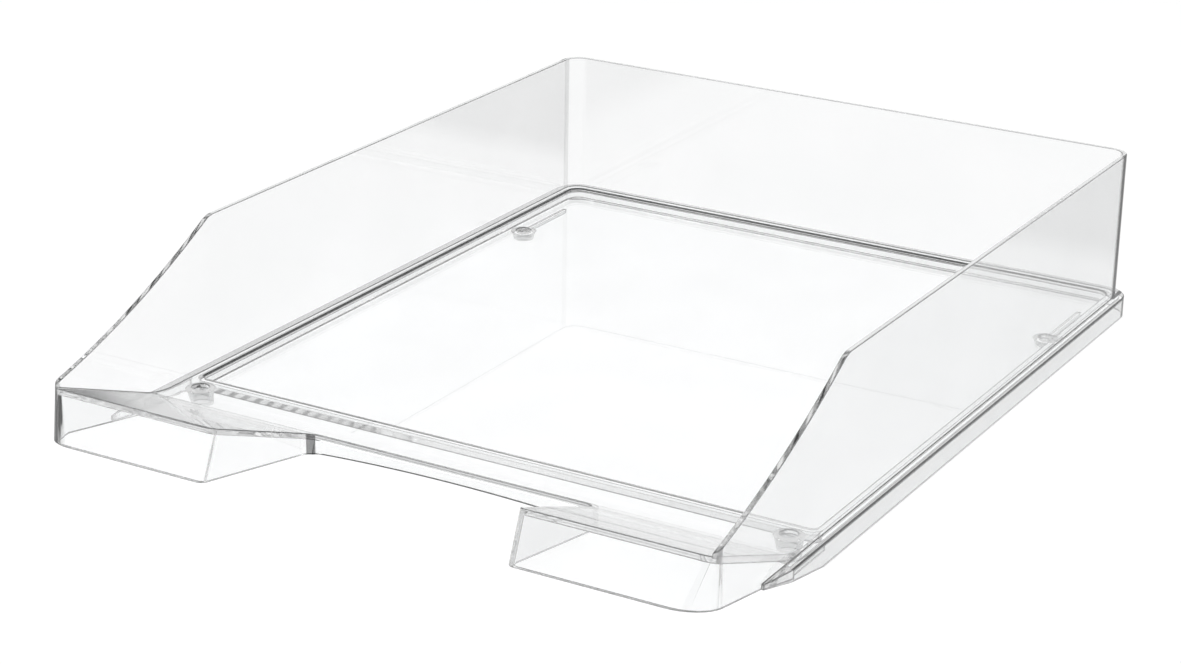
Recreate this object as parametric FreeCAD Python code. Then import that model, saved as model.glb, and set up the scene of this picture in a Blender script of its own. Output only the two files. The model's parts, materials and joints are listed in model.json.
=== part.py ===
import FreeCAD, Part
import math
import os

os.makedirs("parts", exist_ok=True)

# Driving sizes in millimetres. Heights are above the desk, backs are behind the front edge of the blocks
tray_width = 255.0
tray_depth = 348.0
tray_height = 65.0
sheet = 1.8

# Upright walls
skirt_overhang = 3.5
rear_corner_radius = 6.0
bend_back = 92.8
bend_radius = 8.0
slope_sag = 3.4

# Ledge, floor step and sunken floor
ledge_height = 8.7
ledge_width = 2.7
floor_height = 4.9
step_rear_radius = 5.0
step_front_radius = 2.5
shelf_width = 18.8

# Skirt around the rim of the tray below
skirt_height = 8.2
skirt_round = 1.2
nose_back = 38.0
nose_taper = 14.0
nose_closure = 16.0
skirt_foot_run = 13.5

# Front blocks, the gap between them and the ramp
face_lean = 7.0
face_bottom = 12.7
face_top = 29.4
lip_width = 4.0
ramp_foot_radius = 38.0
gap_front_width = 113.4
gap_side_slant = 1.3
gap_depth = 57.0
gap_corner_radius = 4.0
apron_arch = 1.9
outer_corner_bottom_radius = 13.0
outer_corner_top_radius = 4.0
inner_corner_radius = 3.0

# Foot cups and ribs
cup_clearance = 0.2
front_cup_clearance = 0.5
rear_cup_inset = 50.4
cup_top_radius = 5.3
cup_bottom_radius = 4.0
cup_bore_radius = 3.0
cup_base = 1.2
rib_length = 28.0
rib_width = 1.4
rib_depth = 1.5

# How far cutting shapes run past the tray, and how near two points count as one
overrun = 20.0
match_gap = 0.01
half_share = 0.5

V = FreeCAD.Vector

# Places that follow from the driving sizes
front_y = -tray_depth * half_share
skirt_half = tray_width * half_share
wall_half = skirt_half - skirt_overhang
inside_half = wall_half - sheet
step_half = inside_half - ledge_width
wall_rear_back = tray_depth - skirt_overhang
step_rear_back = wall_rear_back - sheet - ledge_width
ramp_foot_back = gap_depth + lip_width
skirt_foot_back = ramp_foot_back + skirt_foot_run
front_step_back = ramp_foot_back + shelf_width
step_front_back = front_step_back + sheet
corner_back = wall_rear_back - rear_corner_radius
ledge_under = ledge_height - sheet
floor_under = floor_height - sheet
gap_front_half = gap_front_width * half_share
gap_rear_half = gap_front_half - gap_side_slant
cup_half = step_half - cup_clearance - cup_top_radius
front_cup_back = front_step_back - front_cup_clearance - cup_top_radius
rear_cup_back = step_rear_back - rear_cup_inset
reach = tray_width + tray_depth


def at(back):
    """The Y place of a point that is this far behind the front edge."""
    return front_y + back


def outline(corners, sag=0, sagging=None):
    """A flat face from corners given as (point, rounding radius), where one line may hang down in an arc."""
    edges = []
    ends = []
    count = len(corners)
    for index in range(count):
        before = corners[index - 1][0]
        here, radius = corners[index]
        after = corners[(index + 1) % count][0]
        to_before = (before - here).normalize()
        to_after = (after - here).normalize()
        if radius == 0:
            ends.append((here, here))
            continue
        half_angle = to_before.getAngle(to_after) * half_share
        tangent = radius / math.tan(half_angle)
        start = here + to_before * tangent
        stop = here + to_after * tangent
        inward = (to_before + to_after).normalize()
        middle = here + inward * (radius / math.sin(half_angle) - radius)
        edges.append(Part.Arc(start, middle, stop).toShape())
        ends.append((start, stop))
    for index in range(count):
        start = ends[index - 1][1]
        stop = ends[index][0]
        if index == sagging:
            middle = (start + stop) * half_share - V(0, 0, sag)
            edges.append(Part.Arc(start, middle, stop).toShape())
        else:
            edges.append(Part.LineSegment(start, stop).toShape())
    return Part.Face(Part.Wire(Part.__sortEdges__(edges)))


def plan(corners):
    """An outline seen from above, from (x, back, rounding radius)."""
    return outline([(V(x, at(back), 0), radius) for x, back, radius in corners])


def side(points, radius=0, rounded=None, sag=0, sagging=None):
    """An outline seen from the side, from (back, height), with one rounded corner or sagging line."""
    corners = []
    for index, (back, height) in enumerate(points):
        corners.append((V(0, at(back), height), radius if index == rounded else 0))
    return outline(corners, sag, sagging)


def shrunk(face, amount):
    """The same outline moved inwards, with its sharp corners kept."""
    return Part.Face(face.OuterWire.makeOffset2D(-amount, 2))


def upright(face, bottom, top):
    """A solid that stands on a plan outline."""
    base = face.copy()
    base.translate(V(0, 0, bottom))
    return base.extrude(V(0, 0, top - bottom))


def across(face):
    """A solid that carries a side outline from far left to far right."""
    start = face.copy()
    start.translate(V(-reach, 0, 0))
    return start.extrude(V(reach + reach, 0, 0))


def zone(left=-reach, right=reach, front=-reach, rear=reach, bottom=-reach, top=reach):
    """A box of space used to take one region out of a larger solid."""
    corner = V(left, at(front), bottom)
    return Part.makeBox(right - left, rear - front, top - bottom, corner)


def edge_between(solid, one, other):
    """The edge of a solid that joins two corners."""
    for edge in solid.Edges:
        ends = [vertex.Point for vertex in edge.Vertexes]
        for start, stop in ((one, other), (other, one)):
            if len(ends) == 2 and (ends[0] - start).Length + (ends[1] - stop).Length < match_gap:
                return edge
    raise ValueError("no edge joins these corners")


def save(name, shape):
    """Write one region of the moulding as a clean solid."""
    clean = shape.removeSplitter()
    clean.exportStep("parts/" + name + ".step")


# The leaning block faces, the ramp behind their top edges and the slanting sides of the gap
ramp_fall = (face_top - ledge_height) / (ramp_foot_back - face_lean)
face_slope = face_lean / (face_top - face_bottom)
keel_rise = face_bottom / skirt_foot_back
gap_slope = (gap_front_half - gap_rear_half) / gap_depth
ramp_drop = sheet * math.sqrt(1 + ramp_fall * ramp_fall)
face_shift = sheet * math.sqrt(1 + face_slope * face_slope)
gap_shift = sheet * math.sqrt(1 + gap_slope * gap_slope)


def ramp_height(back, drop):
    """Height of the ramp at a place, or of a surface this far straight below it."""
    return face_top - ramp_fall * (back - face_lean) - drop


def keel_height(back):
    """Height of the bottom edge, which runs straight from the block faces down to the skirt's foot."""
    return face_bottom - keel_rise * back


def face_back(height, shift):
    """Place of the leaning faces at a height, or of a surface this far straight behind them."""
    return face_slope * (height - face_bottom) + shift


def gap_half(back, shift):
    """Half the gap's width at a place, or the same for a surface this far outside it."""
    return gap_front_half - gap_slope * back + shift


def outer_radius(height):
    """Rounding of the outer block corners, which opens out towards the foot."""
    opening = (outer_corner_bottom_radius - outer_corner_top_radius) / (face_top - face_bottom)
    return outer_corner_top_radius + opening * (face_top - height)


# Side views of the paper space, the ramp's sheet, the faces' sheet and the hollow under the ramp
far_front = -overrun
far_rear = tray_depth + overrun
far_top = tray_height + overrun
peak_back = (face_back(face_top, face_shift) + face_slope * (ramp_fall * face_lean - ramp_drop)) / (
    1 + face_slope * ramp_fall
)
peak_height = ramp_height(peak_back, ramp_drop)
foot_under_back = ramp_foot_back - (ramp_drop - sheet) / ramp_fall
paper_side = side([
    (ramp_foot_back, ledge_height),
    (far_rear, ledge_height),
    (far_rear, far_top),
    (far_front, far_top),
    (far_front, ramp_height(far_front, 0)),
], radius=ramp_foot_radius, rounded=0)
ramp_side = side([
    (far_front, ramp_height(far_front, ramp_drop)),
    (ramp_foot_back, ramp_height(ramp_foot_back, ramp_drop)),
    (ramp_foot_back, far_top),
    (far_front, far_top),
])
face_side = side([
    (face_back(0, face_shift), 0),
    (face_back(far_top, face_shift), far_top),
    (far_front, far_top),
    (far_front, 0),
])
hollow_side = side([
    (foot_under_back, ledge_under),
    (front_step_back, ledge_under),
    (front_step_back, 0),
    (face_back(0, face_shift), 0),
    (peak_back, peak_height),
], radius=ramp_foot_radius + sheet, rounded=0)
wall_side = side([
    (bend_back, tray_height),
    (tray_depth, tray_height),
    (tray_depth, ledge_under),
    (front_step_back, ledge_under),
    (front_step_back, keel_height(gap_depth)),
    (gap_depth, keel_height(gap_depth)),
    (0, face_bottom),
    (face_lean, face_top),
], sag=slope_sag, sagging=0)

# Outlines from above of the walls with the gap in front, the paper space and the sunken floor
wall_plan = plan([
    (-wall_half, far_front, 0),
    (-gap_half(far_front, 0), far_front, 0),
    (-gap_rear_half, gap_depth, gap_corner_radius),
    (gap_rear_half, gap_depth, gap_corner_radius),
    (gap_half(far_front, 0), far_front, 0),
    (wall_half, far_front, 0),
    (wall_half, wall_rear_back, rear_corner_radius),
    (-wall_half, wall_rear_back, rear_corner_radius),
])
paper_plan = plan([
    (-inside_half, far_front, 0),
    (inside_half, far_front, 0),
    (inside_half, wall_rear_back - sheet, rear_corner_radius - sheet),
    (-inside_half, wall_rear_back - sheet, rear_corner_radius - sheet),
])


def floor_plan(margin):
    """Outline of the sunken floor, or of its step when grown by a margin."""
    half = step_half + margin
    front = step_front_back - margin
    rear = step_rear_back + margin
    return plan([
        (-half, front, step_front_radius + margin),
        (half, front, step_front_radius + margin),
        (half, rear, step_rear_radius + margin),
        (-half, rear, step_rear_radius + margin),
    ])


def round_block_corners(solid, inset, low_height, high_height, shift):
    """Round the upright corners at both ends of each block face."""
    low_back = face_back(low_height, shift)
    high_back = face_back(high_height, shift)
    side_shift = gap_shift if inset else 0
    for sign in (-1, 1):
        x = sign * (wall_half - inset)
        edge = edge_between(solid, V(x, at(low_back), low_height), V(x, at(high_back), high_height))
        radii = [outer_radius(low_height) - inset, outer_radius(high_height) - inset]
        if edge.Vertexes[0].Z > edge.Vertexes[-1].Z:
            radii.reverse()
        solid = solid.makeFillet(radii[0], radii[1], [edge])
        low_corner = V(sign * gap_half(low_back, side_shift), at(low_back), low_height)
        high_corner = V(sign * gap_half(high_back, side_shift), at(high_back), high_height)
        edge = edge_between(solid, low_corner, high_corner)
        solid = solid.makeFillet(inner_corner_radius - inset, [edge])
    return solid


# The shell of walls, blocks and ledge, before it is parted into its regions
hull = upright(wall_plan, 0, far_top).common(across(wall_side))
rim_bend = edge_between(hull, V(-wall_half, at(bend_back), tray_height), V(wall_half, at(bend_back), tray_height))
hull = hull.makeFillet(bend_radius, [rim_bend])
hull = round_block_corners(hull, 0, face_bottom, face_top, 0)
hollow = upright(shrunk(wall_plan, sheet), 0, far_top).common(across(hollow_side))
hollow = round_block_corners(hollow, sheet, 0, peak_height, face_shift)
paper_space = upright(paper_plan, 0, far_top).common(across(paper_side))
well = upright(floor_plan(0), floor_height, far_top)
arch_radius = (gap_rear_half * gap_rear_half / apron_arch + apron_arch) * half_share
arch_start = V(0, at(far_front), keel_height(gap_depth) + apron_arch - arch_radius)
arch = Part.makeCylinder(arch_radius, front_step_back - far_front, arch_start, V(0, 1, 0))
arch = arch.common(zone(left=-gap_rear_half, right=gap_rear_half, front=0, bottom=0))
shell = hull.cut(hollow).cut(paper_space).cut(well).cut(arch)

# The sunken floor and the step around it
pan = upright(floor_plan(sheet), floor_under, ledge_under).cut(well)

# The skirt, with a groove inside it for the rim of the tray below
skirt_plan = plan([
    (-wall_half, nose_back, 0),
    (wall_half, nose_back, 0),
    (skirt_half, nose_back + nose_taper, 0),
    (skirt_half, tray_depth, rear_corner_radius + skirt_overhang),
    (-skirt_half, tray_depth, rear_corner_radius + skirt_overhang),
    (-skirt_half, nose_back + nose_taper, 0),
])
skirt_side = side([
    (nose_back, keel_height(nose_back)),
    (skirt_foot_back, 0),
    (far_rear, 0),
    (far_rear, skirt_height),
    (nose_back, skirt_height),
])
groove_zone = zone(front=nose_back + nose_closure, top=ledge_under)
groove = upright(shrunk(skirt_plan, sheet), -overrun, ledge_under).common(groove_zone)
skirt = upright(skirt_plan, 0, far_top).common(across(skirt_side))
shoulder_edges = []
for edge in skirt.Edges:
    middle = edge.valueAt((edge.FirstParameter + edge.LastParameter) * half_share)
    behind_nose = middle.y > at(nose_back + nose_taper)
    if abs(middle.z - skirt_height) < match_gap and behind_nose:
        shoulder_edges.append(edge)
skirt = skirt.makeFillet(skirt_round, shoulder_edges)
skirt = skirt.cut(upright(wall_plan, -overrun, far_top)).cut(groove)
skirt = skirt.cut(zone(left=-wall_half, right=wall_half, rear=corner_back))

# Foot cups, open at the top, and the bores that go through the sheet above them
def cup_place(sign, back):
    """Where a cup stands on the desk."""
    return V(sign * cup_half, at(back), 0)


def cup_body(place, top):
    """The tapered outside of a cup, up to the sheet that it hangs from."""
    return Part.makeCone(cup_bottom_radius, cup_top_radius, top, place)


def cup_bore(place):
    """The round hole down to the cup's base."""
    return Part.makeCylinder(cup_bore_radius, far_top, place + V(0, 0, cup_base))


# Upright walls
lower_walls = zone(rear=step_front_back)
upper_walls = zone(rear=corner_back, bottom=ledge_height)
wall_zone = lower_walls.fuse(upper_walls)
save("left_side_wall", shell.common(zone(right=-inside_half)).common(wall_zone))
save("right_side_wall", shell.common(zone(left=inside_half)).common(wall_zone))
save("rear_wall", shell.common(zone(front=corner_back, bottom=ledge_height)))

# Ledge
ledge_zone = zone(front=step_front_back, rear=corner_back, top=ledge_height)
save("left_ledge", shell.common(ledge_zone).common(zone(right=0)))
save("right_ledge", shell.common(ledge_zone).common(zone(left=0)))
save("rear_ledge", shell.common(zone(front=corner_back, top=ledge_height)))

# Front shelf, ramp, faces and apron
between_walls = shell.common(zone(left=-inside_half, right=inside_half, rear=step_front_back))
shelf = between_walls.common(zone(front=ramp_foot_back))
for sign in (-1, 1):
    shelf = shelf.cut(cup_bore(cup_place(sign, front_cup_back)))
save("front_shelf", shelf)
bow = between_walls.common(zone(rear=ramp_foot_back))
ramp = bow.common(across(ramp_side))
skin = bow.cut(across(ramp_side))
faces = skin.common(across(face_side))
gap_sides = skin.cut(across(face_side))
middle_zone = zone(left=-gap_rear_half, right=gap_rear_half)
block_middle = (gap_front_half + inside_half) * half_share
near_gap = zone(left=-block_middle, right=block_middle)
outer_corners = gap_sides.cut(near_gap)
gap_sides = gap_sides.common(near_gap)
faces = faces.fuse(outer_corners)
save("lip_ramp", ramp.common(middle_zone))
save("front_apron", gap_sides.common(middle_zone))
for side_name, side_zone in (("left", zone(right=-gap_rear_half)), ("right", zone(left=gap_rear_half))):
    save(side_name + "_block_top", ramp.common(side_zone))
    save(side_name + "_block_face", faces.common(side_zone))
    save(side_name + "_block_inner_side", gap_sides.common(side_zone))

# Sunken floor and its step
floor_panel = pan.common(zone(top=floor_height))
step = pan.common(zone(bottom=floor_height))
step_corner_front = step_front_back + step_front_radius
step_corner_rear = step_rear_back - step_rear_radius
save("front_floor_step", step.common(zone(rear=step_corner_front)))
save("rear_floor_step", step.common(zone(front=step_corner_rear)))
step_sides = step.common(zone(front=step_corner_front, rear=step_corner_rear))
save("left_floor_step", step_sides.common(zone(right=0)))
save("right_floor_step", step_sides.common(zone(left=0)))

# Skirt
save("rear_skirt", skirt.common(zone(front=corner_back)))
skirt_sides = skirt.common(zone(rear=corner_back))
save("left_skirt", skirt_sides.common(zone(right=0)))
save("right_skirt", skirt_sides.common(zone(left=0)))

# Cups under the shelf and under the floor, and the ribs behind the rear cups
for side_name, sign in (("left", -1), ("right", 1)):
    front_place = cup_place(sign, front_cup_back)
    rear_place = cup_place(sign, rear_cup_back)
    rear_body = cup_body(rear_place, floor_under)
    save("front_" + side_name + "_cup", cup_body(front_place, ledge_under).cut(cup_bore(front_place)))
    save("rear_" + side_name + "_cup", rear_body.cut(cup_bore(rear_place)))
    floor_panel = floor_panel.cut(cup_bore(rear_place))
    rib_corner = rear_place + V(-rib_width * half_share, 0, floor_under - rib_depth)
    rib = Part.makeBox(rib_width, cup_top_radius + rib_length, rib_depth, rib_corner)
    save(side_name + "_floor_rib", rib.cut(rear_body))
save("floor_panel", floor_panel)
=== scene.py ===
import json
import math

import bmesh
import bpy
from mathutils import Euler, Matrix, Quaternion, Vector

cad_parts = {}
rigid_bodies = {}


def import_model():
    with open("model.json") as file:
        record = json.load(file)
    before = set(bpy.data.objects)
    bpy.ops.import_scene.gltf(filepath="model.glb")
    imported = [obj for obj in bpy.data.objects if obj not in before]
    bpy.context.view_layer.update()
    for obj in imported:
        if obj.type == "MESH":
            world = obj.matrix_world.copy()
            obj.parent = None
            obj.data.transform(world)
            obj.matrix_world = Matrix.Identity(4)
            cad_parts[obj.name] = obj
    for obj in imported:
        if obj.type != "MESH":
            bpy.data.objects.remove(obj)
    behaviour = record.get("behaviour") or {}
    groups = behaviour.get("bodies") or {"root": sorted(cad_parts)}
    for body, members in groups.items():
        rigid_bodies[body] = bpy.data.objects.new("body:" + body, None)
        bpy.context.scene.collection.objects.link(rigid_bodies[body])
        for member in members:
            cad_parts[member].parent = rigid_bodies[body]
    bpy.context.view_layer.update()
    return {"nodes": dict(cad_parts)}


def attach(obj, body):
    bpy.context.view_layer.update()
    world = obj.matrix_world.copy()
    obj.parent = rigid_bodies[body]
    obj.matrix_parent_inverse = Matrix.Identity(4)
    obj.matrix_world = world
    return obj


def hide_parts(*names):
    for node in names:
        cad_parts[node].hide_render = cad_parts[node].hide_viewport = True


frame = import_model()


# Walls and front blocks: the outside of the one clear moulding, still filled solid.
# The real tray is injected in polystyrene in one shot, so all its regions are shaped here as one body.
# The block faces lean back, and their outer corners open out towards the foot.
tray_depth = 0.348
tray_height = 0.065
sheet = 0.0018
wall_half = 0.124
wall_rear = 0.3445
rear_corner = 0.008
face_bottom = 0.0127
face_top = 0.0294
face_lean = 0.007
face_slope = face_lean / (face_top - face_bottom)
corner_bottom = 0.013
corner_top = 0.005
corner_slope = (corner_bottom - corner_top) / (face_top - face_bottom)
clear_of = 0.02
same_place = 0.00002
inside_half = wall_half - sheet
inside_rear = wall_rear - sheet


def at(back):
    """The Y place of a point this far behind the front edge."""
    return back - tray_depth / 2


def nothing_selected():
    """Leave edit mode and drop whatever is selected."""
    if bpy.context.mode != "OBJECT":
        bpy.ops.object.mode_set(mode="OBJECT")
    bpy.ops.object.select_all(action="DESELECT")


def pick(kind, test):
    """Select the vertices, edges or faces of the mesh in hand whose middle passes a test."""
    bpy.ops.mesh.select_mode(type=kind)
    bpy.ops.mesh.select_all(action="DESELECT")
    mesh = bmesh.from_edit_mesh(bpy.context.object.data)
    if kind == "VERT":
        found = [v for v in mesh.verts if test(v.co)]
    elif kind == "EDGE":
        found = [e for e in mesh.edges if test((e.verts[0].co + e.verts[1].co) / 2)]
    else:
        found = [f for f in mesh.faces if test(f.calc_center_median())]
    for part in found:
        part.select_set(True)
    mesh.select_flush_mode()
    bmesh.update_edit_mesh(bpy.context.object.data)
    return len(found)


def near(a, b, reach=same_place):
    """Two places on one axis that count as the same."""
    return abs(a - b) < reach


def blank(left, right, front, rear, height, front_round, rear_round, steps=8):
    """A flat sheet cut to size, with rounded corners in front and behind, left open in edit mode."""
    bpy.ops.mesh.primitive_plane_add(size=1, enter_editmode=False)
    sheet_in_hand = bpy.context.object
    bpy.ops.object.mode_set(mode="EDIT")
    bpy.ops.transform.resize(value=(right - left, rear - front, 1))
    bpy.ops.transform.translate(value=((left + right) / 2, at((front + rear) / 2), height))
    for place, radius in ((at(front), front_round), (at(rear), rear_round)):
        if radius:
            pick("VERT", lambda co: near(co.y, place))
            bpy.ops.mesh.bevel(offset=radius, segments=steps, profile=0.5, affect="VERTICES")
    return sheet_in_hand


def pull(step):
    """Extrude what is selected by one step."""
    bpy.ops.mesh.extrude_region_move(TRANSFORM_OT_translate={"value": step})


def block_from(left, right, front, rear, bottom, top, front_round=0, rear_round=0):
    """A block that stands on a sheet with rounded corners."""
    nothing_selected()
    body = blank(left, right, front, rear, bottom, front_round, rear_round)
    bpy.ops.mesh.select_all(action="SELECT")
    pull((0, 0, top - bottom))
    bpy.ops.mesh.select_all(action="SELECT")
    bpy.ops.mesh.normals_make_consistent(inside=False)
    return body


def traced(points, left, right, rounded=()):
    """A bar whose end view is drawn corner by corner, as (back, height), and pulled from left to right."""
    nothing_selected()
    bpy.ops.mesh.primitive_plane_add(size=0.001)
    bar = bpy.context.object
    bpy.ops.object.mode_set(mode="EDIT")
    bpy.ops.mesh.select_mode(type="VERT")
    bpy.ops.mesh.merge(type="CENTER")
    places = [Vector((left, at(back), height)) for back, height in points]
    bpy.ops.transform.translate(value=places[0])
    for here, there in zip(places, places[1:]):
        pull(there - here)
    pick("VERT", lambda co: min((co - places[0]).length, (co - places[-1]).length) < same_place)
    bpy.ops.mesh.edge_face_add()
    bpy.ops.mesh.select_all(action="SELECT")
    bpy.ops.mesh.edge_face_add()
    for (back, height), length, steps in rounded:
        pick("VERT", lambda co: near(co.y, at(back)) and near(co.z, height))
        bpy.ops.mesh.bevel(offset=length, segments=steps, profile=0.5, affect="VERTICES")
    bpy.ops.mesh.select_mode(type="FACE")
    bpy.ops.mesh.select_all(action="SELECT")
    pull((right - left, 0, 0))
    bpy.ops.mesh.select_all(action="SELECT")
    bpy.ops.mesh.normals_make_consistent(inside=False)
    return bar


def shape(body, tool, how):
    """Cut, join or trim a body with another shape, which is used up."""
    nothing_selected()
    bpy.context.view_layer.objects.active = body
    body.select_set(True)
    work = body.modifiers.new(how, "BOOLEAN")
    work.operation = how
    work.solver = "EXACT"
    work.object = tool
    bpy.ops.object.modifier_apply(modifier=work.name)
    bpy.data.objects.remove(tool)


def leaning_block(half, rear, rear_round, shift, inset):
    """A block with an upright back and a leaning front, whose front corners are cones."""
    nothing_selected()
    low = -clear_of
    low_front = face_slope * (low - face_bottom)
    low_corner = corner_top + corner_slope * (face_top - low)
    rings = (
        (low, low_front + shift, low_corner - inset),
        (face_top, face_lean + shift, corner_top - inset),
    )
    for height, front, radius in rings:
        nothing_selected()
        ring = blank(-half, half, front, rear, height, radius, rear_round)
        bpy.ops.mesh.select_all(action="SELECT")
        bpy.ops.mesh.delete(type="ONLY_FACE")
        nothing_selected()
        ring.name = "ring"
    for ring in [o for o in bpy.data.objects if o.name.startswith("ring")]:
        ring.select_set(True)
        bpy.context.view_layer.objects.active = ring
    bpy.ops.object.join()
    body = bpy.context.object
    body.name = "leaning"
    bpy.ops.object.mode_set(mode="EDIT")
    bpy.ops.mesh.select_mode(type="EDGE")
    bpy.ops.mesh.select_all(action="SELECT")
    bpy.ops.mesh.bridge_edge_loops()
    pick("EDGE", lambda co: near(co.z, face_top))
    pull((0, 0, tray_height + clear_of - face_top))
    for height in (low, tray_height + clear_of):
        pick("EDGE", lambda co: near(co.z, height))
        bpy.ops.mesh.edge_face_add()
    bpy.ops.mesh.select_all(action="SELECT")
    bpy.ops.mesh.normals_make_consistent(inside=False)
    return body


tray = leaning_block(wall_half, wall_rear, rear_corner, 0, 0)
tray.name = "tray_moulding"


# Finger gap between the front blocks, open in front and below.
# Its sides draw in a little towards the rear, as the mould needs, and its rear corners are rounded.
# The block edges beside it carry a small round from the mould.
gap_front_half = 0.0567
gap_rear_half = 0.0554
gap_depth = 0.057
gap_corner = 0.004
gap_edge = 0.003
gap_slope = (gap_front_half - gap_rear_half) / gap_depth
gap_reach = 0.0003


def gap_plug(grow):
    """The space of the gap, or the same grown all round by a sheet's thickness."""
    nothing_selected()
    half = gap_rear_half + grow
    plug = blank(-half, half, -clear_of, gap_depth + grow, -2 * clear_of, 0, 0)
    spread = gap_slope * (gap_depth + clear_of) / half
    pick("VERT", lambda co: near(co.y, at(-clear_of)))
    bpy.ops.transform.resize(value=(1 + spread, 1, 1))
    pick("VERT", lambda co: near(co.y, at(gap_depth + grow)))
    bpy.ops.mesh.bevel(offset=gap_corner + grow, segments=8, profile=0.5, affect="VERTICES")
    bpy.ops.mesh.select_all(action="SELECT")
    pull((0, 0, tray_height + 4 * clear_of))
    bpy.ops.mesh.select_all(action="SELECT")
    bpy.ops.mesh.normals_make_consistent(inside=False)
    return plug


def round_gap_edges(body, shift, grow, radius):
    """Round the two edges where the block faces meet the gap."""
    nothing_selected()
    bpy.context.view_layer.objects.active = body
    bpy.ops.object.mode_set(mode="EDIT")

    def on_edge(co):
        front = face_slope * (min(co.z, face_top) - face_bottom) + shift
        half = gap_front_half - gap_slope * front + grow
        return near(co.y, at(front), gap_reach) and near(abs(co.x), half, gap_reach)

    pick("EDGE", on_edge)
    bpy.ops.mesh.bevel(offset=radius, segments=6, profile=0.5, affect="EDGES")
    nothing_selected()


shape(tray, gap_plug(0), "DIFFERENCE")
round_gap_edges(tray, 0, 0, gap_edge)


# Side view of the walls: a level rim that bends down and runs in a hollow curve to the blocks.
# The bottom edge rises from the skirt's foot to the block faces, and is left long until the skirt is on.
# All of it is one edge of the moulding, trimmed from the filled body.
bend_back = 0.0928
slope_sag = 0.0034
skirt_foot = 0.0745
keel_rise = face_bottom / skirt_foot
front_step = 0.0798
ledge_height = 0.0087
ledge_under = ledge_height - sheet
rim_step = 0.0002
slope_start = (face_lean, face_top + rim_step)
slope_steps = 16
bend_round = 0.0025
bend_steps = 6
left_long = -0.006


def keel(back):
    """Height of the bottom edge at a place."""
    return face_bottom - keel_rise * back


def slope_point(share):
    """A point of the hollow curve, from the block at 0 to the bend at 1."""
    back = slope_start[0] + (bend_back - slope_start[0]) * share
    straight = slope_start[1] + (tray_height - slope_start[1]) * share
    return back, straight - slope_sag * 4 * share * (1 - share)


side_view = [(-clear_of, left_long), (-clear_of, slope_start[1]), slope_start]
side_view += [slope_point(step / slope_steps) for step in range(1, slope_steps)]
side_view += [(bend_back, tray_height), (tray_depth + clear_of, tray_height)]
side_view += [(tray_depth + clear_of, ledge_under), (front_step, ledge_under)]
side_view += [(front_step, keel(gap_depth)), (gap_depth, keel(gap_depth)), (gap_depth, left_long)]
bend = ((bend_back, tray_height), bend_round, bend_steps)
shape(tray, traced(side_view, -2 * wall_half, 2 * wall_half, [bend]), "INTERSECT")


# Hollow under the ramp and behind the block faces, open below, where the mould's core stood.
# It leaves one even sheet of plastic in the faces, the inner sides, the ramp and the apron.
# The apron's bottom edge is arched a little in the middle.
ramp_foot = 0.061
ramp_fall = (face_top - ledge_height) / (ramp_foot - face_lean)
foot_round = 0.038
apron_arch = 0.0019
arch_sides = 720
arch_length = 0.02
arch_middle = 0.002
run_out = 0.0006
hair = 0.000001
ramp_drop = sheet * math.sqrt(1 + ramp_fall * ramp_fall)
face_shift = sheet * math.sqrt(1 + face_slope * face_slope)
foot_half_angle = math.atan(ramp_fall) / 2


def ramp(back, drop):
    """Height of the ramp, or of a surface this far below it."""
    return face_top - ramp_fall * (back - face_lean) - drop


hollow = leaning_block(inside_half, front_step + run_out, 0, face_shift, sheet)
shape(hollow, gap_plug(sheet), "DIFFERENCE")
round_gap_edges(hollow, face_shift, sheet, gap_edge - sheet)
hollow_top = ledge_under + hair
under_foot = (ramp_foot - (ramp_drop - sheet) / ramp_fall, hollow_top)
above = [(-clear_of, ramp(-clear_of, ramp_drop)), under_foot, (tray_depth, hollow_top)]
above += [(tray_depth, tray_height + 4 * clear_of), (-clear_of, tray_height + 4 * clear_of)]
under_bend = (under_foot, (foot_round + sheet) * math.tan(foot_half_angle), 10)
shape(hollow, traced(above, -2 * wall_half, 2 * wall_half, [under_bend]), "DIFFERENCE")
shape(tray, hollow, "DIFFERENCE")
arch_radius = (gap_rear_half * gap_rear_half / apron_arch + apron_arch) / 2
nothing_selected()
bpy.ops.mesh.primitive_cylinder_add(
    vertices=arch_sides, radius=arch_radius, depth=arch_length, rotation=(math.pi / 2, 0, 0),
    location=(0, at(gap_depth + arch_middle), keel(gap_depth) + apron_arch - arch_radius),
)
arch = bpy.context.object
bpy.ops.object.transform_apply(location=True, rotation=True, scale=True)
shape(tray, arch, "DIFFERENCE")


# Sunken floor: a shallow pan that hangs below the ledge, for the sheets to lie in.
# It is moulded with the walls and is as thick as they are, and its corners are rounded.
# Here it is added as a filled block, and the well is cut out of it further down.
ledge_width = 0.0027
floor_height = 0.0049
floor_under = floor_height - sheet
step_front_round = 0.0025
step_rear_round = 0.005
pan_round = 0.0006
pan_bite = 0.0008
well_round = 0.0007
step_half = inside_half - ledge_width
step_rear = inside_rear - ledge_width
step_front = front_step + sheet
pan = block_from(
    -step_half - sheet, step_half + sheet, step_front - sheet, step_rear + sheet,
    floor_under, ledge_under + pan_bite, step_front_round + sheet, step_rear_round + sheet,
)
pick("EDGE", lambda co: near(co.z, floor_under))
bpy.ops.mesh.bevel(offset=pan_round, segments=3, profile=0.5, affect="EDGES")
shape(tray, pan, "UNION")


# Skirt round the foot of the walls, which slips over the rim of a tray below.
# It stands out from the walls on three sides, ends in a nose beside each block, and has a groove inside it.
# It is part of the same moulding, and its nose and the walls are cut off below in one line.
skirt_half = 0.1275
skirt_height = 0.0082
skirt_round = 0.0005
nose_back = 0.038
nose_taper = 0.014
nose_start = 0.0008
nose_closure = 0.016
overlap = 0.0008
skirt_corner = rear_corner + skirt_half - wall_half
nose_end = nose_back + nose_taper


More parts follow.
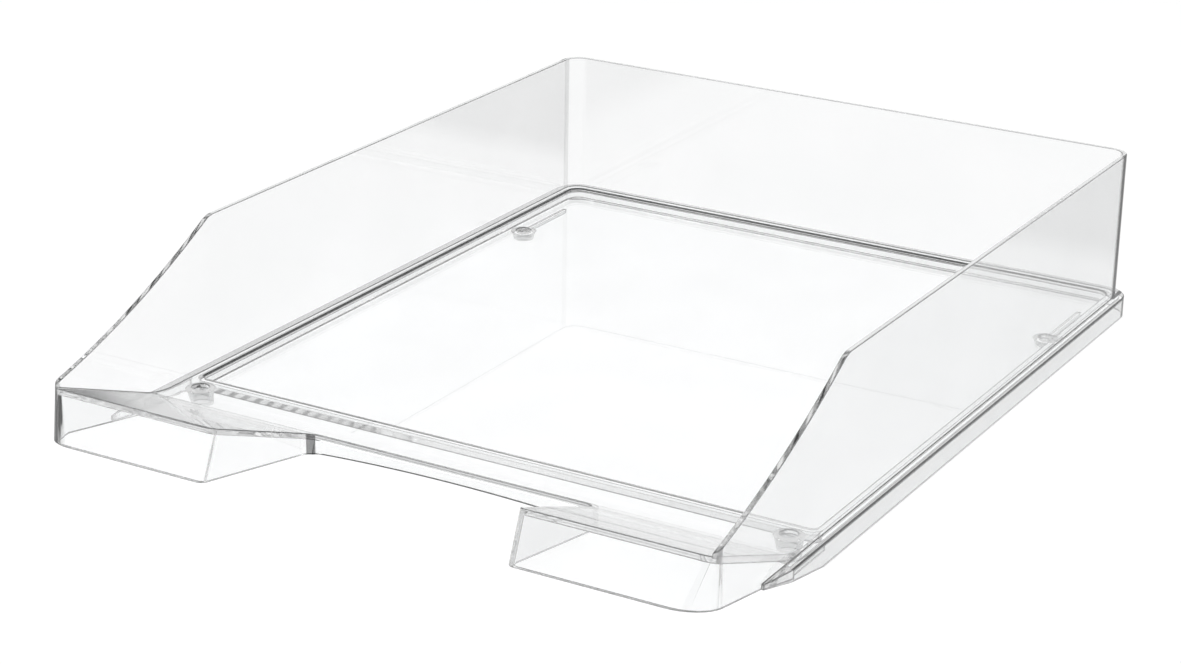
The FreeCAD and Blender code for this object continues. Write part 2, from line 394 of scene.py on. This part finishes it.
def on_shoulder(co):
    """On the skirt's upper outside edge, behind the noses."""
    aside = max(abs(co.x) - skirt_half + skirt_corner, 0)
    behind = max(co.y - at(tray_depth) + skirt_corner, 0)
    outside = near(math.hypot(aside, behind), skirt_corner, 0.0001)
    return outside and near(co.z, skirt_height) and co.y > at(nose_end)


nothing_selected()
skirt = blank(-skirt_half, skirt_half, nose_end, tray_depth, 0, 0, skirt_corner)
pick("EDGE", lambda co: near(co.y, at(nose_end)))
pull((0, -nose_taper, 0))
bpy.ops.transform.resize(value=((wall_half + nose_start) / skirt_half, 1, 1))
bpy.ops.mesh.select_mode(type="FACE")
bpy.ops.mesh.select_all(action="SELECT")
pull((0, 0, skirt_height))
bpy.ops.mesh.select_all(action="SELECT")
bpy.ops.mesh.normals_make_consistent(inside=False)
pick("EDGE", on_shoulder)
bpy.ops.mesh.bevel(offset=skirt_round, segments=3, profile=0.5, affect="EDGES")
groove = block_from(
    sheet - skirt_half, skirt_half - sheet, nose_back + nose_closure, tray_depth - sheet,
    -clear_of, ledge_under, 0, skirt_corner - sheet,
)
shape(skirt, groove, "DIFFERENCE")
core = block_from(
    overlap - wall_half, wall_half - overlap, nose_back - clear_of, wall_rear - overlap,
    -clear_of, skirt_height + clear_of, 0, rear_corner - overlap,
)
shape(skirt, core, "DIFFERENCE")
shape(tray, skirt, "UNION")
below = [(-clear_of, keel(-clear_of)), (skirt_foot, 0)]
below += [(skirt_foot, -2 * clear_of), (-clear_of, -2 * clear_of)]
shape(tray, traced(below, -2 * wall_half, 2 * wall_half), "DIFFERENCE")


# Foot cups and floor ribs: four short tapered cups under the corners that take the rods of a tray above,
# and a low rib behind each rear cup, where the plastic flows into the mould.
# They are moulded on the underside, and the cups are opened from above further down.
cup_half = 0.114
front_cup = 0.074
rear_cup = 0.2896
cup_bottom_radius = 0.004
cup_top_radius = 0.0049
cup_bore = 0.003
cup_base = 0.0012
cup_sides = 64
rib_width = 0.0014
rib_depth = 0.0015
rib_length = 0.0333
sink = 0.0005


def cup_cone(x, back, hangs_from):
    """A tapered cup, filled solid, that runs a little way into the sheet it hangs from."""
    nothing_selected()
    spread = (cup_top_radius - cup_bottom_radius) / hangs_from
    height = hangs_from + sink
    bpy.ops.mesh.primitive_cone_add(
        vertices=cup_sides, radius1=cup_bottom_radius, radius2=cup_bottom_radius + spread * height,
        depth=height,
    )
    cone = bpy.context.object
    bpy.ops.object.mode_set(mode="EDIT")
    bpy.ops.transform.translate(value=(x, at(back), height / 2))
    return cone


for x in (-cup_half, cup_half):
    shape(tray, cup_cone(x, front_cup, ledge_under), "UNION")
    shape(tray, cup_cone(x, rear_cup, floor_under), "UNION")
    rib = block_from(
        x - rib_width / 2, x + rib_width / 2, rear_cup, rear_cup + rib_length,
        floor_under - rib_depth, floor_under + sink,
    )
    shape(tray, rib, "UNION")


# Inside of the tray: the paper space between the walls, the well of the floor and the bores of the cups.
# The mould's other half made all three, so they are cut out of the joined body in one go each.
# The ramp runs into the shelf in a wide curve.
space_view = [(ramp_foot, ledge_height), (inside_rear, ledge_height), (inside_rear, tray_height + clear_of)]
space_view += [(-clear_of, tray_height + clear_of), (-clear_of, ramp(-clear_of, 0))]
foot_bend = ((ramp_foot, ledge_height), foot_round * math.tan(foot_half_angle), 12)
space = traced(space_view, -inside_half, inside_half, [foot_bend])
pick("EDGE", lambda co: near(co.y, at(inside_rear)) and near(abs(co.x), inside_half))
bpy.ops.mesh.bevel(offset=rear_corner - sheet, segments=10, profile=0.5, affect="EDGES")
shape(tray, space, "DIFFERENCE")
well = block_from(
    -step_half, step_half, step_front, step_rear, floor_height, tray_height + clear_of,
    step_front_round, step_rear_round,
)
pick("EDGE", lambda co: near(co.z, floor_height))
bpy.ops.mesh.bevel(offset=well_round, segments=4, profile=0.5, affect="EDGES")
shape(tray, well, "DIFFERENCE")
for x in (-cup_half, cup_half):
    for back in (front_cup, rear_cup):
        nothing_selected()
        bpy.ops.mesh.primitive_cylinder_add(vertices=cup_sides, radius=cup_bore, depth=tray_height)
        bore = bpy.context.object
        bpy.ops.object.mode_set(mode="EDIT")
        bpy.ops.transform.translate(value=(x, at(back), cup_base + tray_height / 2))
        shape(tray, bore, "DIFFERENCE")


# Edges of the moulding: each carries a small round from the mould, and the brim of the well a wider one.
# The dark lines by which clear plastic is seen are painted shade on these faces, which are marked for the
# material:
# "rim" is how dark the painted shade of an edge line, a cup side or a rear corner is, "shade" how dark the
# painted shade on a round corner or the skirt turns when seen aslant.
edge_round = 0.0006
sharp = math.radians(35)
half_weight = 0.5
line_reach = 0.0008
margin = 0.001
pan_reach = 0.0005
apron_low = 0.006
face_clear = 0.012
cup_reach = 0.0004
skirt_reach = 0.002
block_front = 0.03
rounded_side = 0.15
weld = 0.000005
sliver = 0.00001
flat_turn = math.radians(0.3)
sheet_slot = 0
edge_slot = 1
# Painted shade, as a share of the near black line colour: on the strongest edge lines, the other edges, the
# slope rims, the cup sides and the rear corners; the skirt's is painted only when seen aslant.
strong_painted_shade = 1
edge_painted_shade = 0.93
rim_painted_shade = 0.6
cup_painted_shade = 0.25
corner_painted_shade = 0.3
skirt_shade = 0.3


def on_brim(co, reach=0.0001):
    """On the upper edge of the well."""
    back = co.y + tray_depth / 2
    along = step_front - margin < back < step_rear + margin
    return near(co.z, ledge_height, reach) and along and abs(co.x) < step_half + margin


def on_apron_foot(co, reach=0.0001):
    """On the lower front edge of the apron, clear of its ends."""
    back = co.y + tray_depth / 2
    between = abs(co.x) < gap_rear_half - gap_corner - margin
    return near(back, gap_depth, reach) and between and co.z < apron_low


def strong_line(co, reach):
    """On the well's brim, the pan's or the apron's foot, the skirt's shoulder or a block's inner top."""
    x = abs(co.x)
    back = co.y + tray_depth / 2
    round_pan = x > step_half - pan_reach or back < step_front or back > step_rear - pan_reach
    foot = near(co.z, floor_under, reach) and round_pan and back > front_step - margin
    outside = x > wall_half + line_reach or back > wall_rear + line_reach
    shoulder = near(co.z, skirt_height, reach) and outside and back > nose_end
    beside_gap = near(x, gap_front_half - gap_slope * back, reach)
    inner_top = beside_gap and face_clear < back < gap_depth - gap_corner and near(co.z, ramp(back, 0), reach)
    return on_brim(co, reach) or on_apron_foot(co, reach) or foot or shoulder or inner_top


def on_cup(co):
    """On the side of a foot cup or of the rib behind it."""
    x = abs(co.x) - cup_half
    back = co.y + tray_depth / 2
    from_cup = min(math.hypot(x, back - front_cup), math.hypot(x, back - rear_cup))
    cup = from_cup < cup_top_radius + cup_reach
    rib = abs(x) < rib_width and rear_cup < back < rear_cup + rib_length + pan_reach
    return cup or (rib and co.z < floor_under)


def on_rear_corner(co):
    """On the outside of a rear corner, where it starts to turn."""
    turned = co.y > at(wall_rear - rear_corner + 0.0002) and co.z > skirt_height
    return turned and wall_half - 0.0006 < abs(co.x) < wall_half + 0.0001


def on_gap_corner(co):
    """On the turn of a rear corner of the finger gap, about its middle."""
    x = abs(co.x) - gap_rear_half + gap_corner
    back = co.y + tray_depth / 2 - gap_depth + gap_corner
    return near(math.hypot(x, back), gap_corner, 0.0003) and 0.4 < math.atan2(back, x) < 1.1


def shaded(co, normal):
    """How dark the painted shade on a face turns when it is seen aslant: full on the rounded corners, less on
    the skirt.
    """
    x = abs(co.x) - wall_half + rear_corner
    back = co.y + tray_depth / 2
    behind = back - wall_rear + rear_corner
    rear_turn = x > 0 and behind > 0 and math.hypot(x, behind) > rear_corner - pan_reach
    turned = min(abs(normal.x), abs(normal.y)) > rounded_side
    block_turn = x > 0 and back < block_front and turned
    if abs(normal.z) < 0.5 and (rear_turn or block_turn):
        return 1
    beside = abs(co.x) > wall_half + skirt_reach or back > wall_rear + skirt_reach
    return skirt_shade if beside and abs(normal.z) < 0.1 else 0


def pick_sharp(test):
    """Select the sharp edges of the tray whose middle passes a test."""
    bpy.ops.mesh.select_mode(type="EDGE")
    bpy.ops.mesh.select_all(action="DESELECT")
    mesh = bmesh.from_edit_mesh(tray.data)
    for edge in mesh.edges:
        if edge.calc_face_angle(0) > sharp and test((edge.verts[0].co + edge.verts[1].co) / 2):
            edge.select_set(True)
    bmesh.update_edit_mesh(tray.data)


nothing_selected()
bpy.context.view_layer.objects.active = tray
tray.select_set(True)
bpy.ops.object.mode_set(mode="EDIT")
bpy.ops.mesh.select_all(action="SELECT")
bpy.ops.mesh.remove_doubles(threshold=weld)
bpy.ops.mesh.dissolve_degenerate(threshold=sliver)
bpy.ops.mesh.select_all(action="SELECT")
bpy.ops.mesh.dissolve_limited(angle_limit=flat_turn)
bpy.ops.mesh.select_all(action="SELECT")
bpy.ops.mesh.delete_loose(use_verts=True, use_edges=True, use_faces=False)
bpy.ops.mesh.select_all(action="SELECT")
bpy.ops.mesh.normals_make_consistent(inside=False)
pick_sharp(lambda co: True)
bpy.ops.transform.edge_bevelweight(value=half_weight)
pick_sharp(lambda co: on_brim(co) or on_apron_foot(co))
bpy.ops.transform.edge_bevelweight(value=half_weight)
bpy.ops.object.mode_set(mode="OBJECT")
tray.data.materials.clear()
for slot in (sheet_slot, edge_slot):
    tray.data.materials.append(None)
rounds = tray.modifiers.new("rounds", "BEVEL")
rounds.width = edge_round
rounds.segments = 3
rounds.limit_method = "WEIGHT"
rounds.use_clamp_overlap = False
rounds.material = edge_slot
bpy.ops.object.modifier_apply(modifier=rounds.name)
bpy.ops.object.shade_smooth_by_angle(angle=sharp)
flats = tray.modifiers.new("flats", "WEIGHTED_NORMAL")
flats.keep_sharp = True
bpy.ops.object.modifier_apply(modifier=flats.name)
rim = tray.data.attributes.new("rim", "FLOAT", "FACE")
shade = tray.data.attributes.new("shade", "FLOAT", "FACE")
# Each face gets its painted shade: dark lines on the edges, grey on the cup sides and rear corners, and how
# dark it turns aslant.
for face in tray.data.polygons:
    mark = 0
    slant = abs(face.normal.z)
    if 0.05 < slant < 0.995 and strong_line(face.center, line_reach):
        mark = strong_painted_shade
    elif face.material_index == edge_slot:
        mark = rim_painted_shade if face.center.z > face_top + 0.002 else edge_painted_shade
    elif on_cup(face.center) and slant < 0.5:
        mark = cup_painted_shade
    elif on_rear_corner(face.center):
        mark = corner_painted_shade
    elif on_gap_corner(face.center) and slant < 0.5:
        mark = edge_painted_shade
    rim.data[face.index].value = mark
    shade.data[face.index].value = shaded(face.center, face.normal)
    face.material_index = sheet_slot
tray.data.materials.clear()


# Clear polystyrene, a faintly grey, hard and glossy plastic.
# Its sheets carry slow ripples from the flow of the melt, and a dull touch of handling here and there.
# Lamps shine through it, so the tray throws only a pale shadow.
flow_scale = 22
handling_scale = 70
dull_tint = (0.945, 0.95, 0.952, 1)
clear_tint = (0.972, 0.976, 0.978, 1)
# Near black colour of the painted shade on the edges, cups and corners.
painted_shade_colour = (0.008, 0.0085, 0.009, 1)
shadow_tint = (0.94, 0.945, 0.95, 1)
polystyrene_ior = 1.59
# How far the painted shade of a rear corner reaches along the wall, and where it is full.
corner_reach = 0.0045
corner_full = 0.0015


def maths(tree, operation, *values, clamp=False):
    """One sum in a material, of the results of other nodes and of plain numbers."""
    node = tree.nodes.new("ShaderNodeMath")
    node.operation = operation
    node.use_clamp = clamp
    for socket, value in zip(node.inputs, values):
        if isinstance(value, bpy.types.NodeSocket):
            tree.links.new(value, socket)
        else:
            socket.default_value = value
    return node.outputs["Value"]


def ranged(tree, value, low, high, to_low=0, to_high=1, ease="LINEAR"):
    """A value brought from one range to another, and held at its ends."""
    node = tree.nodes.new("ShaderNodeMapRange")
    node.interpolation_type = ease
    node.inputs["From Min"].default_value = low
    node.inputs["From Max"].default_value = high
    node.inputs["To Min"].default_value = to_low
    node.inputs["To Max"].default_value = to_high
    tree.links.new(value, node.inputs["Value"])
    return node.outputs["Result"]


def noise(tree, place, scale, detail):
    """A soft random pattern that is fixed to the piece."""
    node = tree.nodes.new("ShaderNodeTexNoise")
    node.inputs["Scale"].default_value = scale
    node.inputs["Detail"].default_value = detail
    tree.links.new(place, node.inputs["Vector"])
    return node.outputs["Fac"]


def face_mark(tree, name):
    """The mark that a face carries under this name."""
    node = tree.nodes.new("ShaderNodeAttribute")
    node.attribute_name = name
    return node.outputs["Fac"]


plastic = bpy.data.materials.new("clear_polystyrene")
plastic.use_nodes = True
tree = plastic.node_tree
nodes = tree.nodes
links = tree.links
nodes.clear()
place = nodes.new("ShaderNodeTexCoord").outputs["Object"]
path = nodes.new("ShaderNodeLightPath")
bounced = path.outputs["Glossy Depth"]
crossed = path.outputs["Transmission Depth"]
flow = noise(tree, place, flow_scale, 2)
tint = nodes.new("ShaderNodeValToRGB")
tint.color_ramp.elements[0].position = 0.3
tint.color_ramp.elements[0].color = dull_tint
tint.color_ramp.elements[1].position = 0.7
tint.color_ramp.elements[1].color = clear_tint
links.new(flow, tint.inputs["Fac"])
# Painted shade along the edges, as dark lines, left out where the tray is only seen mirrored in its own
# sheets
back_side = nodes.new("ShaderNodeNewGeometry").outputs["Backfacing"]
from_air = maths(tree, "LESS_THAN", back_side, 0.5)
past_a_sheet = maths(tree, "GREATER_THAN", crossed, 1.5)
mirrored = maths(tree, "MULTIPLY", maths(tree, "MAXIMUM", from_air, past_a_sheet), bounced, clamp=True)
painted_edge_line = maths(tree, "SUBTRACT", face_mark(tree, "rim"), mirrored, clamp=True)
# Painted shade on the rounded corners, with a strip of wall in front of each rear corner, when seen aslant
spot = nodes.new("ShaderNodeSeparateXYZ")
links.new(place, spot.inputs["Vector"])
on_wall = maths(tree, "COMPARE", maths(tree, "ABSOLUTE", spot.outputs["X"]), wall_half, sheet / 2)
corner_start = at(wall_rear - rear_corner)
to_corner = ranged(
    tree, spot.outputs["Y"], corner_start - corner_reach, corner_start - corner_full, ease="SMOOTHSTEP",
)
by_corner = maths(tree, "MULTIPLY", on_wall, to_corner)
shady = maths(tree, "MAXIMUM", face_mark(tree, "shade"), by_corner)
aslant = nodes.new("ShaderNodeLayerWeight").outputs["Facing"]
turned_away = ranged(tree, aslant, 0.35, 0.58, ease="SMOOTHSTEP")
seen_first = maths(tree, "LESS_THAN", maths(tree, "MULTIPLY_ADD", bounced, 10, crossed), 1.5)
corner_shade = maths(tree, "MULTIPLY", maths(tree, "MULTIPLY", shady, turned_away), seen_first)
painted_shade_mix = nodes.new("ShaderNodeMix")
painted_shade_mix.data_type = "RGBA"
painted_shade_mix.inputs["B"].default_value = painted_shade_colour
links.new(maths(tree, "MAXIMUM", painted_edge_line, corner_shade), painted_shade_mix.inputs["Factor"])
links.new(tint.outputs["Color"], painted_shade_mix.inputs["A"])
handling = noise(tree, place, handling_scale, 5)
ripple = nodes.new("ShaderNodeBump")
ripple.inputs["Strength"].default_value = 0.04
ripple.inputs["Distance"].default_value = 0.0004
links.new(flow, ripple.inputs["Height"])
clear = nodes.new("ShaderNodeBsdfPrincipled")
clear.inputs["IOR"].default_value = polystyrene_ior
clear.inputs["Transmission Weight"].default_value = 1
links.new(painted_shade_mix.outputs["Result"], clear.inputs["Base Color"])
links.new(ranged(tree, handling, 0.35, 0.75, 0.005, 0.035), clear.inputs["Roughness"])
links.new(ripple.outputs["Normal"], clear.inputs["Normal"])
through = nodes.new("ShaderNodeBsdfTransparent")
through.inputs["Color"].default_value = shadow_tint
lit = nodes.new("ShaderNodeMixShader")
links.new(path.outputs["Is Shadow Ray"], lit.inputs["Fac"])
links.new(clear.outputs["BSDF"], lit.inputs[1])
links.new(through.outputs["BSDF"], lit.inputs[2])
output = nodes.new("ShaderNodeOutputMaterial")
links.new(lit.outputs["Shader"], output.inputs["Surface"])
tray.data.materials.append(plastic)
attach(tray, "root")
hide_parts(*frame["nodes"])


# Table and surround: a pale studio table with a grey card under the tray, in a darker room.
# The table is matt paint, and to the eye it is white, straight through the plastic too.
# Light that the plastic throws aside comes from the card or the dark room beyond, and so draws the edges.
table_size = 12
table_grey = 0.4
field_lift = 0.66
card_middle = (0.02, 0, 0)
card_half = (skirt_half + 0.06, tray_depth / 2 + 0.04, 0)
card_fade = 0.03
mirror_grey = 0.88
thrown_grey = 0.66
room_dark = 0.05
guided = 0.85
white = (1, 1, 1, 1)
ceiling_grey = (0.3, 0.3, 0.3, 1)


def blend(tree, share, start, end):
    """A value between two others, each a number or the result of a node."""
    node = tree.nodes.new("ShaderNodeMix")
    tree.links.new(share, node.inputs["Factor"])
    for name, value in (("A", start), ("B", end)):
        if isinstance(value, bpy.types.NodeSocket):
            tree.links.new(value, node.inputs[name])
        else:
            node.inputs[name].default_value = value
    return node.outputs["Result"]


def beyond_card(tree):
    """How far a place on the table lies beyond the card: 0 on it, 1 past its faded edge."""
    offset = tree.nodes.new("ShaderNodeVectorMath")
    offset.operation = "SUBTRACT"
    offset.inputs[1].default_value = card_middle
    tree.links.new(tree.nodes.new("ShaderNodeTexCoord").outputs["Object"], offset.inputs[0])
    across = tree.nodes.new("ShaderNodeVectorMath")
    across.operation = "ABSOLUTE"
    tree.links.new(offset.outputs["Vector"], across.inputs[0])
    beside = tree.nodes.new("ShaderNodeVectorMath")
    beside.operation = "SUBTRACT"
    beside.inputs[1].default_value = card_half
    tree.links.new(across.outputs["Vector"], beside.inputs[0])
    reach = tree.nodes.new("ShaderNodeSeparateXYZ")
    tree.links.new(beside.outputs["Vector"], reach.inputs["Vector"])
    return ranged(tree, maths(tree, "MAXIMUM", reach.outputs["X"], reach.outputs["Y"]), 0, card_fade)


nothing_selected()
bpy.ops.mesh.primitive_plane_add(size=table_size)
table = bpy.context.object
table.name = "table"
paint = bpy.data.materials.new("pale_table")
paint.use_nodes = True
tree = paint.node_tree
nodes = tree.nodes
links = tree.links
nodes.clear()
path = nodes.new("ShaderNodeLightPath")
bounced = path.outputs["Glossy Depth"]
passed = maths(tree, "GREATER_THAN", path.outputs["Transmission Depth"], 0.5)
matt = nodes.new("ShaderNodeBsdfDiffuse")
matt.inputs["Color"].default_value = (table_grey, table_grey, table_grey, 1)
seen = maths(tree, "MAXIMUM", path.outputs["Is Camera Ray"], path.outputs["Is Transmission Ray"])
glow = nodes.new("ShaderNodeEmission")
glow.inputs["Color"].default_value = white
links.new(maths(tree, "MULTIPLY", seen, field_lift), glow.inputs["Strength"])
field = nodes.new("ShaderNodeAddShader")
links.new(matt.outputs["BSDF"], field.inputs[0])
links.new(glow.outputs["Emission"], field.inputs[1])
near_tone = blend(tree, passed, mirror_grey, thrown_grey)
past_card = maths(tree, "MULTIPLY", beyond_card(tree), passed)
thrown_tone = blend(tree, past_card, near_tone, room_dark)
glint = nodes.new("ShaderNodeEmission")
glint.inputs["Color"].default_value = white
links.new(blend(tree, ranged(tree, bounced, 3, 7), thrown_tone, guided), glint.inputs["Strength"])
met = nodes.new("ShaderNodeMixShader")
links.new(maths(tree, "GREATER_THAN", bounced, 0.5), met.inputs["Fac"])
links.new(field.outputs["Shader"], met.inputs[1])
links.new(glint.outputs["Emission"], met.inputs[2])
output = nodes.new("ShaderNodeOutputMaterial")
links.new(met.outputs["Shader"], output.inputs["Surface"])
table.data.materials.append(paint)

surround = bpy.data.worlds.new("white_surround")
bpy.context.scene.world = surround
surround.use_nodes = True
nodes = surround.node_tree.nodes
links = surround.node_tree.links
nodes.clear()
direction = nodes.new("ShaderNodeTexCoord")
parts = nodes.new("ShaderNodeSeparateXYZ")
links.new(direction.outputs["Generated"], parts.inputs["Vector"])
height = nodes.new("ShaderNodeValToRGB")
height.color_ramp.elements[0].position = 0.4
height.color_ramp.elements[0].color = white
height.color_ramp.elements[1].position = 0.85
height.color_ramp.elements[1].color = ceiling_grey
links.new(parts.outputs["Z"], height.inputs["Fac"])
room = nodes.new("ShaderNodeBackground")
links.new(height.outputs["Color"], room.inputs["Color"])
backdrop = nodes.new("ShaderNodeBackground")
backdrop.inputs["Color"].default_value = white
path = nodes.new("ShaderNodeLightPath")
choice = nodes.new("ShaderNodeMixShader")
links.new(path.outputs["Is Camera Ray"], choice.inputs["Fac"])
links.new(room.outputs["Background"], choice.inputs[1])
links.new(backdrop.outputs["Background"], choice.inputs[2])
output = nodes.new("ShaderNodeOutputWorld")
links.new(choice.outputs["Shader"], output.inputs["Surface"])


# Lamps: two large soft boxes, in front on the left and behind on the right.
# They are plain white and far enough off for an even light.
# Light finds its way along the sheets of plastic over many turns, so the paths of light are long.
lamp_size = 0.9
for name, where, power in (("lamp_left", (-0.9, -0.7, 1.2), 8), ("lamp_right", (1.0, 0.6, 1.1), 6)):
    nothing_selected()
    bpy.ops.object.light_add(type="AREA", location=where)
    lamp = bpy.context.object
    lamp.name = name
    lamp.data.shape = "DISK"
    lamp.data.size = lamp_size
    lamp.data.energy = power
    lamp.rotation_euler = (-Vector(where)).to_track_quat("-Z", "Y").to_euler()
light_turns = 96
bpy.context.scene.cycles.max_bounces = light_turns
bpy.context.scene.cycles.glossy_bounces = light_turns
bpy.context.scene.cycles.transmission_bounces = light_turns


# Camera: a long lens, above the front right corner of the tray, turned as the photo was.
# The photo's middle isn't the lens's middle, so the frame is shifted a little.
# The picture is 1181 by 664.
azimuth = 29.125
elevation = 20.804
roll = 1.238
distance = 1.026195
aim = Vector((0, 0, 0.02))
picture_width = 1181
picture_height = 664
film_width = 36
focal_pixels = 2869.517
middle_x = 626.983
middle_y = 333.027
turn = Euler((math.radians(90 - elevation), 0, math.radians(azimuth))).to_quaternion()
turn = turn @ Quaternion((0, 0, 1), math.radians(roll))
nothing_selected()
bpy.ops.object.camera_add(location=aim + turn @ Vector((0, 0, distance)))
camera = bpy.context.object
camera.rotation_euler = turn.to_euler()
camera.data.sensor_width = film_width
camera.data.lens = film_width * focal_pixels / picture_width
camera.data.shift_x = (picture_width / 2 - middle_x) / picture_width
camera.data.shift_y = (middle_y - picture_height / 2) / picture_width
bpy.context.scene.camera = camera
bpy.context.scene.view_settings.view_transform = "Standard"
